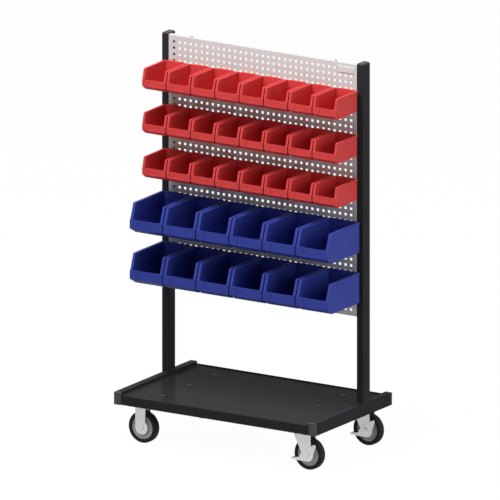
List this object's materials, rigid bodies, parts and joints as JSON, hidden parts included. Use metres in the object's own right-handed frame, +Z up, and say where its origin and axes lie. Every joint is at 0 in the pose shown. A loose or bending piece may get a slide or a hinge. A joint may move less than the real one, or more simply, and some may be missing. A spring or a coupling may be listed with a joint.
{
  "type": "mobile parts bin rack",
  "caption": "Castored rack with a perforated panel between tube posts, open-fronted plastic bins hung in rows on the panel, and a low steel shelf; braked swivel castors at an end.",
  "frame": {"origin": "on the floor under the middle of the base", "axes": "+X to the right along the panel, +Y to the back, +Z up"},
  "size_m": [0.91, 0.556, 1.55],
  "materials": {
    "frame_paint": "fine textured powder coat, black",
    "shelf_paint": "fine textured powder coat, black",
    "panel_paint": "smooth powder coat, pale grey",
    "rail_paint": "smooth powder coat, pale grey",
    "red_bin": "moulded polypropylene, satin",
    "blue_bin": "moulded polypropylene, satin",
    "cap_plastic": "moulded polyethylene, satin",
    "zinc_steel": "bright zinc plated",
    "wheel_rim": "moulded polyamide, satin",
    "tyre": "moulded rubber, matt",
    "fastener_steel": "zinc plated"
  },
  "bodies": {
    "root": {"base_shelf": "shelf_paint", "castor_bearers": "frame_paint", "fasteners": "fastener_steel", "fixed_castor_forks": "zinc_steel", "hanging_rails": "rail_paint", "perforated_panel": "panel_paint", "side_rail_left": "frame_paint", "side_rail_right": "frame_paint", "swivel_top_plates": "zinc_steel", "tube_end_caps": "cap_plastic", "upright_left": "frame_paint", "upright_right": "frame_paint"},
    "blue_bin_bottom_1": {"blue_bin_bottom_1": "blue_bin"},
    "blue_bin_bottom_2": {"blue_bin_bottom_2": "blue_bin"},
    "blue_bin_bottom_3": {"blue_bin_bottom_3": "blue_bin"},
    "blue_bin_bottom_4": {"blue_bin_bottom_4": "blue_bin"},
    "blue_bin_bottom_5": {"blue_bin_bottom_5": "blue_bin"},
    "blue_bin_bottom_6": {"blue_bin_bottom_6": "blue_bin"},
    "blue_bin_upper_1": {"blue_bin_upper_1": "blue_bin"},
    "blue_bin_upper_2": {"blue_bin_upper_2": "blue_bin"},
    "blue_bin_upper_3": {"blue_bin_upper_3": "blue_bin"},
    "blue_bin_upper_4": {"blue_bin_upper_4": "blue_bin"},
    "blue_bin_upper_5": {"blue_bin_upper_5": "blue_bin"},
    "blue_bin_upper_6": {"blue_bin_upper_6": "blue_bin"},
    "brake_back": {"brake_pedal_back": "zinc_steel"},
    "brake_front": {"brake_pedal_front": "zinc_steel"},
    "red_bin_lower_1": {"red_bin_lower_1": "red_bin"},
    "red_bin_lower_2": {"red_bin_lower_2": "red_bin"},
    "red_bin_lower_3": {"red_bin_lower_3": "red_bin"},
    "red_bin_lower_4": {"red_bin_lower_4": "red_bin"},
    "red_bin_lower_5": {"red_bin_lower_5": "red_bin"},
    "red_bin_lower_6": {"red_bin_lower_6": "red_bin"},
    "red_bin_lower_7": {"red_bin_lower_7": "red_bin"},
    "red_bin_lower_8": {"red_bin_lower_8": "red_bin"},
    "red_bin_middle_1": {"red_bin_middle_1": "red_bin"},
    "red_bin_middle_2": {"red_bin_middle_2": "red_bin"},
    "red_bin_middle_3": {"red_bin_middle_3": "red_bin"},
    "red_bin_middle_4": {"red_bin_middle_4": "red_bin"},
    "red_bin_middle_5": {"red_bin_middle_5": "red_bin"},
    "red_bin_middle_6": {"red_bin_middle_6": "red_bin"},
    "red_bin_middle_7": {"red_bin_middle_7": "red_bin"},
    "red_bin_middle_8": {"red_bin_middle_8": "red_bin"},
    "red_bin_top_1": {"red_bin_top_1": "red_bin"},
    "red_bin_top_2": {"red_bin_top_2": "red_bin"},
    "red_bin_top_3": {"red_bin_top_3": "red_bin"},
    "red_bin_top_4": {"red_bin_top_4": "red_bin"},
    "red_bin_top_5": {"red_bin_top_5": "red_bin"},
    "red_bin_top_6": {"red_bin_top_6": "red_bin"},
    "red_bin_top_7": {"red_bin_top_7": "red_bin"},
    "red_bin_top_8": {"red_bin_top_8": "red_bin"},
    "swivel_back": {"swivel_fork_back": "zinc_steel"},
    "swivel_front": {"swivel_fork_front": "zinc_steel"},
    "wheel_back_left": {"tyre_back_left": "tyre", "wheel_rim_back_left": "wheel_rim"},
    "wheel_back_right": {"tyre_back_right": "tyre", "wheel_rim_back_right": "wheel_rim"},
    "wheel_front_left": {"tyre_front_left": "tyre", "wheel_rim_front_left": "wheel_rim"},
    "wheel_front_right": {"tyre_front_right": "tyre", "wheel_rim_front_right": "wheel_rim"}
  },
  "joints": [
    {"name": "swivel_front_turn", "type": "hinge", "parent": "root", "child": "swivel_front", "pos_m": [0.362, -0.213, 0.14], "axis": [0, 0, 1], "continuous": true},
    {"name": "swivel_back_turn", "type": "hinge", "parent": "root", "child": "swivel_back", "pos_m": [0.362, 0.213, 0.14], "axis": [0, 0, 1], "continuous": true},
    {"name": "wheel_front_left_spin", "type": "hinge", "parent": "root", "child": "wheel_front_left", "pos_m": [-0.359, -0.213, 0.0625], "axis": [0, 1, 0], "continuous": true},
    {"name": "wheel_front_right_spin", "type": "hinge", "parent": "swivel_front", "child": "wheel_front_right", "pos_m": [0.39, -0.213, 0.0625], "axis": [0, 1, 0], "continuous": true},
    {"name": "wheel_back_left_spin", "type": "hinge", "parent": "root", "child": "wheel_back_left", "pos_m": [-0.359, 0.213, 0.0625], "axis": [0, 1, 0], "continuous": true},
    {"name": "wheel_back_right_spin", "type": "hinge", "parent": "swivel_back", "child": "wheel_back_right", "pos_m": [0.39, 0.213, 0.0625], "axis": [0, 1, 0], "continuous": true},
    {"name": "brake_front_press", "type": "hinge", "parent": "swivel_front", "child": "brake_front", "pos_m": [0.39, -0.213, 0.0625], "axis": [0, -1, 0], "range_deg": [0, 12]},
    {"name": "brake_back_press", "type": "hinge", "parent": "swivel_back", "child": "brake_back", "pos_m": [0.39, 0.213, 0.0625], "axis": [0, -1, 0], "range_deg": [0, 12]},
    {"name": "blue_bin_bottom_1_lift", "type": "slide", "parent": "root", "child": "blue_bin_bottom_1", "axis": [0, 0, 1], "range_m": [0, 0.025]},
    {"name": "blue_bin_bottom_2_lift", "type": "slide", "parent": "root", "child": "blue_bin_bottom_2", "axis": [0, 0, 1], "range_m": [0, 0.025]},
    {"name": "blue_bin_bottom_3_lift", "type": "slide", "parent": "root", "child": "blue_bin_bottom_3", "axis": [0, 0, 1], "range_m": [0, 0.025]},
    {"name": "blue_bin_bottom_4_lift", "type": "slide", "parent": "root", "child": "blue_bin_bottom_4", "axis": [0, 0, 1], "range_m": [0, 0.025]},
    {"name": "blue_bin_bottom_5_lift", "type": "slide", "parent": "root", "child": "blue_bin_bottom_5", "axis": [0, 0, 1], "range_m": [0, 0.025]},
    {"name": "blue_bin_bottom_6_lift", "type": "slide", "parent": "root", "child": "blue_bin_bottom_6", "axis": [0, 0, 1], "range_m": [0, 0.025]},
    {"name": "blue_bin_upper_1_lift", "type": "slide", "parent": "root", "child": "blue_bin_upper_1", "axis": [0, 0, 1], "range_m": [0, 0.025]},
    {"name": "blue_bin_upper_2_lift", "type": "slide", "parent": "root", "child": "blue_bin_upper_2", "axis": [0, 0, 1], "range_m": [0, 0.025]},
    {"name": "blue_bin_upper_3_lift", "type": "slide", "parent": "root", "child": "blue_bin_upper_3", "axis": [0, 0, 1], "range_m": [0, 0.025]},
    {"name": "blue_bin_upper_4_lift", "type": "slide", "parent": "root", "child": "blue_bin_upper_4", "axis": [0, 0, 1], "range_m": [0, 0.025]},
    {"name": "blue_bin_upper_5_lift", "type": "slide", "parent": "root", "child": "blue_bin_upper_5", "axis": [0, 0, 1], "range_m": [0, 0.025]},
    {"name": "blue_bin_upper_6_lift", "type": "slide", "parent": "root", "child": "blue_bin_upper_6", "axis": [0, 0, 1], "range_m": [0, 0.025]},
    {"name": "red_bin_lower_1_lift", "type": "slide", "parent": "root", "child": "red_bin_lower_1", "axis": [0, 0, 1], "range_m": [0, 0.025]},
    {"name": "red_bin_lower_2_lift", "type": "slide", "parent": "root", "child": "red_bin_lower_2", "axis": [0, 0, 1], "range_m": [0, 0.025]},
    {"name": "red_bin_lower_3_lift", "type": "slide", "parent": "root", "child": "red_bin_lower_3", "axis": [0, 0, 1], "range_m": [0, 0.025]},
    {"name": "red_bin_lower_4_lift", "type": "slide", "parent": "root", "child": "red_bin_lower_4", "axis": [0, 0, 1], "range_m": [0, 0.025]},
    {"name": "red_bin_lower_5_lift", "type": "slide", "parent": "root", "child": "red_bin_lower_5", "axis": [0, 0, 1], "range_m": [0, 0.025]},
    {"name": "red_bin_lower_6_lift", "type": "slide", "parent": "root", "child": "red_bin_lower_6", "axis": [0, 0, 1], "range_m": [0, 0.025]},
    {"name": "red_bin_lower_7_lift", "type": "slide", "parent": "root", "child": "red_bin_lower_7", "axis": [0, 0, 1], "range_m": [0, 0.025]},
    {"name": "red_bin_lower_8_lift", "type": "slide", "parent": "root", "child": "red_bin_lower_8", "axis": [0, 0, 1], "range_m": [0, 0.025]},
    {"name": "red_bin_middle_1_lift", "type": "slide", "parent": "root", "child": "red_bin_middle_1", "axis": [0, 0, 1], "range_m": [0, 0.025]},
    {"name": "red_bin_middle_2_lift", "type": "slide", "parent": "root", "child": "red_bin_middle_2", "axis": [0, 0, 1], "range_m": [0, 0.025]},
    {"name": "red_bin_middle_3_lift", "type": "slide", "parent": "root", "child": "red_bin_middle_3", "axis": [0, 0, 1], "range_m": [0, 0.025]},
    {"name": "red_bin_middle_4_lift", "type": "slide", "parent": "root", "child": "red_bin_middle_4", "axis": [0, 0, 1], "range_m": [0, 0.025]},
    {"name": "red_bin_middle_5_lift", "type": "slide", "parent": "root", "child": "red_bin_middle_5", "axis": [0, 0, 1], "range_m": [0, 0.025]},
    {"name": "red_bin_middle_6_lift", "type": "slide", "parent": "root", "child": "red_bin_middle_6", "axis": [0, 0, 1], "range_m": [0, 0.025]},
    {"name": "red_bin_middle_7_lift", "type": "slide", "parent": "root", "child": "red_bin_middle_7", "axis": [0, 0, 1], "range_m": [0, 0.025]},
    {"name": "red_bin_middle_8_lift", "type": "slide", "parent": "root", "child": "red_bin_middle_8", "axis": [0, 0, 1], "range_m": [0, 0.025]},
    {"name": "red_bin_top_1_lift", "type": "slide", "parent": "root", "child": "red_bin_top_1", "axis": [0, 0, 1], "range_m": [0, 0.025]},
    {"name": "red_bin_top_2_lift", "type": "slide", "parent": "root", "child": "red_bin_top_2", "axis": [0, 0, 1], "range_m": [0, 0.025]},
    {"name": "red_bin_top_3_lift", "type": "slide", "parent": "root", "child": "red_bin_top_3", "axis": [0, 0, 1], "range_m": [0, 0.025]},
    {"name": "red_bin_top_4_lift", "type": "slide", "parent": "root", "child": "red_bin_top_4", "axis": [0, 0, 1], "range_m": [0, 0.025]},
    {"name": "red_bin_top_5_lift", "type": "slide", "parent": "root", "child": "red_bin_top_5", "axis": [0, 0, 1], "range_m": [0, 0.025]},
    {"name": "red_bin_top_6_lift", "type": "slide", "parent": "root", "child": "red_bin_top_6", "axis": [0, 0, 1], "range_m": [0, 0.025]},
    {"name": "red_bin_top_7_lift", "type": "slide", "parent": "root", "child": "red_bin_top_7", "axis": [0, 0, 1], "range_m": [0, 0.025]},
    {"name": "red_bin_top_8_lift", "type": "slide", "parent": "root", "child": "red_bin_top_8", "axis": [0, 0, 1], "range_m": [0, 0.025]}
  ]
}
